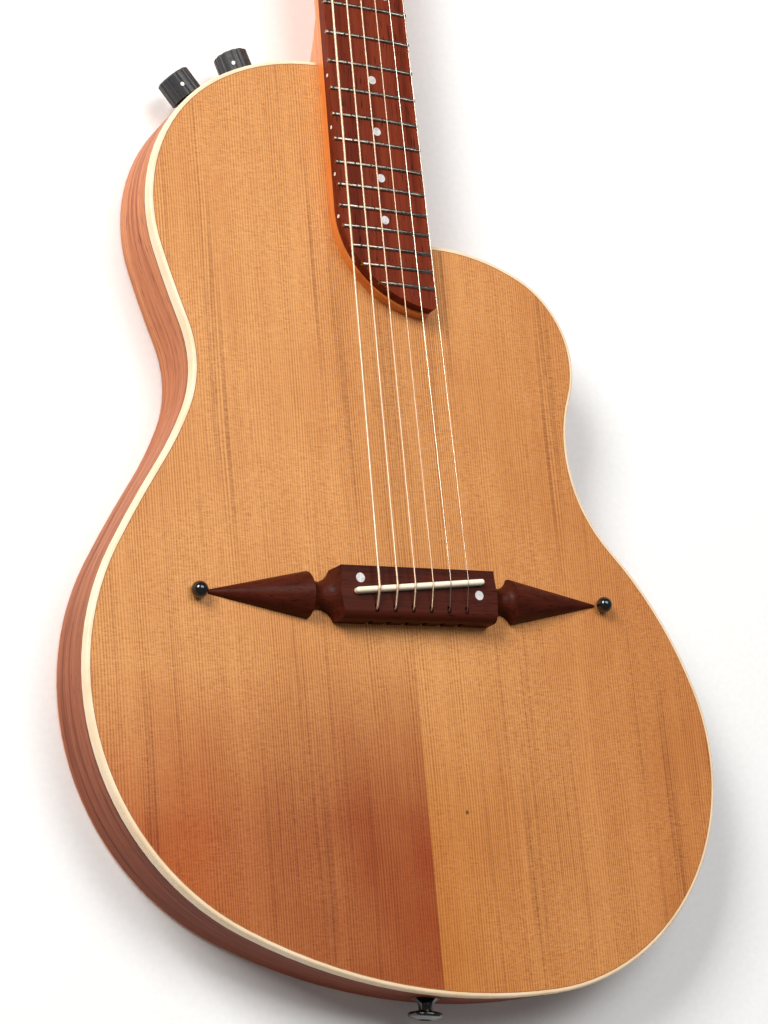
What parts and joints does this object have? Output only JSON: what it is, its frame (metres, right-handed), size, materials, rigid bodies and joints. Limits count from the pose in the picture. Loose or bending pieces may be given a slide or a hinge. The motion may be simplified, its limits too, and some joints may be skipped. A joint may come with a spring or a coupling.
{
  "type": "acoustic-electric guitar",
  "caption": "Thin hollow-body acoustic-electric guitar with a deep single cutaway, spear-ended bridge, rim-mounted controls and geared tuners.",
  "frame": {"origin": "on the flat back, under the centre line where the scale length starts at the saddle", "axes": "+Z out of the soundboard, +Y towards the headstock, +X towards the treble side"},
  "size_m": [0.362, 1.0321, 0.0603],
  "materials": {
    "back_wood": "satin oiled brown hardwood",
    "battery_case": "plain battery case",
    "black_gloss": "polished black",
    "black_line": "thin black fibre line",
    "black_metal": "glossy black",
    "black_satin": "satin black anodised metal",
    "board_wood": "open-pored red-brown hardwood",
    "bone": "polished bone",
    "brass": "brass",
    "bridge_wood": "satin dark red-brown hardwood",
    "bronze_wound": "bronze wound string",
    "chrome": "polished chrome",
    "circuit": "green circuit board",
    "cream": "polished cream plastic",
    "inner_wood": "raw pale wood",
    "neck_wood": "satin orange-brown hardwood",
    "nickel": "nickel silver",
    "pearl": "polished shell",
    "pickup_film": "pickup strip",
    "plain_steel": "bright plain steel string",
    "side_wood": "satin oiled brown hardwood with long dark streaks",
    "steel": "plain steel",
    "top_wood": "satin lacquered reddish softwood with straight fine grain, bookmatched",
    "white_dot": "white plastic",
    "wire": "black insulated wire"
  },
  "bodies": {
    "guitar": {"back": "back_wood", "back_braces": "inner_wood", "back_cover": "black_satin", "battery": "battery_case", "binding": "cream", "bridge": "bridge_wood", "bridge_balls": "black_gloss", "bridge_dots": "pearl", "end_block": "inner_wood", "fret_dots": "pearl", "fretboard": "board_wood", "frets": "nickel", "headstock_veneer": "board_wood", "linings": "inner_wood", "neck": "neck_wood", "neck_block": "inner_wood", "neck_bolts": "steel", "neck_inserts": "brass", "nut": "bone", "output_jack": "nickel", "panel_nuts": "black_metal", "plain_strings": "plain_steel", "pots": "steel", "preamp_board": "circuit", "purfling": "black_line", "saddle": "bone", "saddle_pickup": "pickup_film", "side_bass": "side_wood", "side_dots": "white_dot", "side_treble": "side_wood", "small_screws": "steel", "strap_buttons": "black_metal", "strap_screws": "black_metal", "string_ball_ends": "brass", "top": "top_wood", "top_braces": "inner_wood", "truss_cover": "black_satin", "truss_rod": "steel", "tuner_bushings": "chrome", "tuner_housings": "chrome", "wiring": "wire", "wound_strings": "bronze_wound"},
    "post_1": {"tuner_post_1": "chrome"},
    "button_1": {"tuner_button_1": "chrome"},
    "post_2": {"tuner_post_2": "chrome"},
    "button_2": {"tuner_button_2": "chrome"},
    "post_3": {"tuner_post_3": "chrome"},
    "button_3": {"tuner_button_3": "chrome"},
    "post_4": {"tuner_post_4": "chrome"},
    "button_4": {"tuner_button_4": "chrome"},
    "post_5": {"tuner_post_5": "chrome"},
    "button_5": {"tuner_button_5": "chrome"},
    "post_6": {"tuner_post_6": "chrome"},
    "button_6": {"tuner_button_6": "chrome"},
    "volume": {"volume_shaft": "steel", "volume_knob": "black_satin", "volume_knob_dot": "white_dot"},
    "tone": {"tone_shaft": "steel", "tone_knob": "black_satin", "tone_knob_dot": "white_dot"}
  },
  "joints": [
    {"name": "post_1_turn", "type": "hinge", "parent": "guitar", "child": "post_1", "pos_m": [-0.027, 0.69829, 0.04016], "axis": [0, 0.1392, 0.9903], "continuous": true},
    {"name": "button_1_turn", "type": "hinge", "parent": "guitar", "child": "button_1", "pos_m": [-0.0455, 0.70275, 0.02085], "axis": [-1, 0, 0], "continuous": true},
    {"name": "post_2_turn", "type": "hinge", "parent": "guitar", "child": "post_2", "pos_m": [-0.0285, 0.7379, 0.03459], "axis": [0, 0.1392, 0.9903], "continuous": true},
    {"name": "button_2_turn", "type": "hinge", "parent": "guitar", "child": "button_2", "pos_m": [-0.0455, 0.74236, 0.01528], "axis": [-1, 0, 0], "continuous": true},
    {"name": "post_3_turn", "type": "hinge", "parent": "guitar", "child": "post_3", "pos_m": [-0.03, 0.77751, 0.02902], "axis": [0, 0.1392, 0.9903], "continuous": true},
    {"name": "button_3_turn", "type": "hinge", "parent": "guitar", "child": "button_3", "pos_m": [-0.0455, 0.78197, 0.00971], "axis": [-1, 0, 0], "continuous": true},
    {"name": "post_4_turn", "type": "hinge", "parent": "guitar", "child": "post_4", "pos_m": [0.027, 0.69829, 0.04016], "axis": [0, 0.1392, 0.9903], "continuous": true},
    {"name": "button_4_turn", "type": "hinge", "parent": "guitar", "child": "button_4", "pos_m": [0.0455, 0.70275, 0.02085], "axis": [1, 0, 0], "continuous": true},
    {"name": "post_5_turn", "type": "hinge", "parent": "guitar", "child": "post_5", "pos_m": [0.0285, 0.7379, 0.03459], "axis": [0, 0.1392, 0.9903], "continuous": true},
    {"name": "button_5_turn", "type": "hinge", "parent": "guitar", "child": "button_5", "pos_m": [0.0455, 0.74236, 0.01528], "axis": [1, 0, 0], "continuous": true},
    {"name": "post_6_turn", "type": "hinge", "parent": "guitar", "child": "post_6", "pos_m": [0.03, 0.77751, 0.02902], "axis": [0, 0.1392, 0.9903], "continuous": true},
    {"name": "button_6_turn", "type": "hinge", "parent": "guitar", "child": "button_6", "pos_m": [0.0455, 0.78197, 0.00971], "axis": [1, 0, 0], "continuous": true},
    {"name": "volume_turn", "type": "hinge", "parent": "guitar", "child": "volume", "pos_m": [-0.09481, 0.27132, 0.02], "axis": [-0.6018, 0.7986, 0], "range_deg": [-150, 150]},
    {"name": "tone_turn", "type": "hinge", "parent": "guitar", "child": "tone", "pos_m": [-0.06356, 0.28778, 0.02], "axis": [-0.3305, 0.9438, 0], "range_deg": [-150, 150]}
  ],
  "couplings": [
    {"joint": "post_1_turn", "follows": "button_1_turn", "ratio": -0.066667},
    {"joint": "post_2_turn", "follows": "button_2_turn", "ratio": -0.066667},
    {"joint": "post_3_turn", "follows": "button_3_turn", "ratio": -0.066667},
    {"joint": "post_4_turn", "follows": "button_4_turn", "ratio": 0.066667},
    {"joint": "post_5_turn", "follows": "button_5_turn", "ratio": 0.066667},
    {"joint": "post_6_turn", "follows": "button_6_turn", "ratio": 0.066667}
  ]
}
